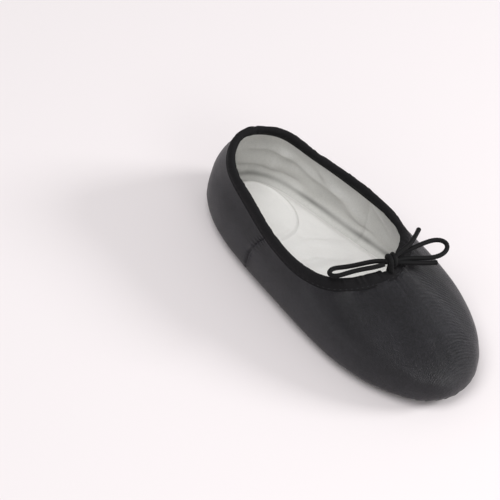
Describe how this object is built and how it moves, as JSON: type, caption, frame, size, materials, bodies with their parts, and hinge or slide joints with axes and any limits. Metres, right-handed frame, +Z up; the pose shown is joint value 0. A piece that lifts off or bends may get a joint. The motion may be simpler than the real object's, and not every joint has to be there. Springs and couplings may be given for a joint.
{
  "type": "ballet slipper",
  "caption": "Soft split-sole ballet slipper in dark canvas with pale cotton lining, padded sock, and a drawstring tied in a bow at the throat; it bends at the arch.",
  "frame": {"origin": "middle of the slipper's length and width, on the floor under the sole", "axes": "+X to the toe, +Y to the wearer's left, +Z up"},
  "size_m": [0.1994, 0.0844, 0.0601],
  "materials": {
    "canvas": "woven, slight satin sheen",
    "casing": "matt bias binding",
    "cord": "braided elastic cord",
    "lining": "matt cotton",
    "tape": "cotton twill tape",
    "sock": "brushed cotton",
    "suede": "split suede"
  },
  "bodies": {
    "forefoot": {"vamp_outer": "canvas", "vamp_lining": "lining", "casing_right": "casing", "casing_left": "casing", "drawstring_run": "cord", "underfoot_panel": "canvas", "insole_sock": "sock", "outsole_front": "suede"},
    "heel": {"quarter_outer_right": "canvas", "quarter_outer_left": "canvas", "quarter_lining_right": "lining", "quarter_lining_left": "lining", "back_seam_tape": "tape", "heel_pad": "sock", "outsole_heel": "suede"},
    "bow": {"bow_knot": "cord", "bow_loop_right": "cord", "bow_loop_left": "cord", "bow_tail_left": "cord", "bow_tail_right": "cord"}
  },
  "joints": [
    {"name": "arch_flex", "type": "hinge", "parent": "forefoot", "child": "heel", "pos_m": [-0.02, 0, 0.003], "axis": [0, 1, 0], "range_deg": [-20, 25], "stiffness_Nm_per_rad": 0.08, "deforming": ["vamp_outer", "quarter_outer_right", "quarter_outer_left", "vamp_lining", "quarter_lining_right", "quarter_lining_left", "casing_right", "casing_left", "drawstring_run", "underfoot_panel", "insole_sock"]},
    {"name": "bow_lift", "type": "hinge", "parent": "forefoot", "child": "bow", "pos_m": [0.0299, -0.0005, 0.0505], "axis": [-0.4191, -0.908, 0], "range_deg": [-10, 30], "stiffness_Nm_per_rad": 0.003}
  ]
}
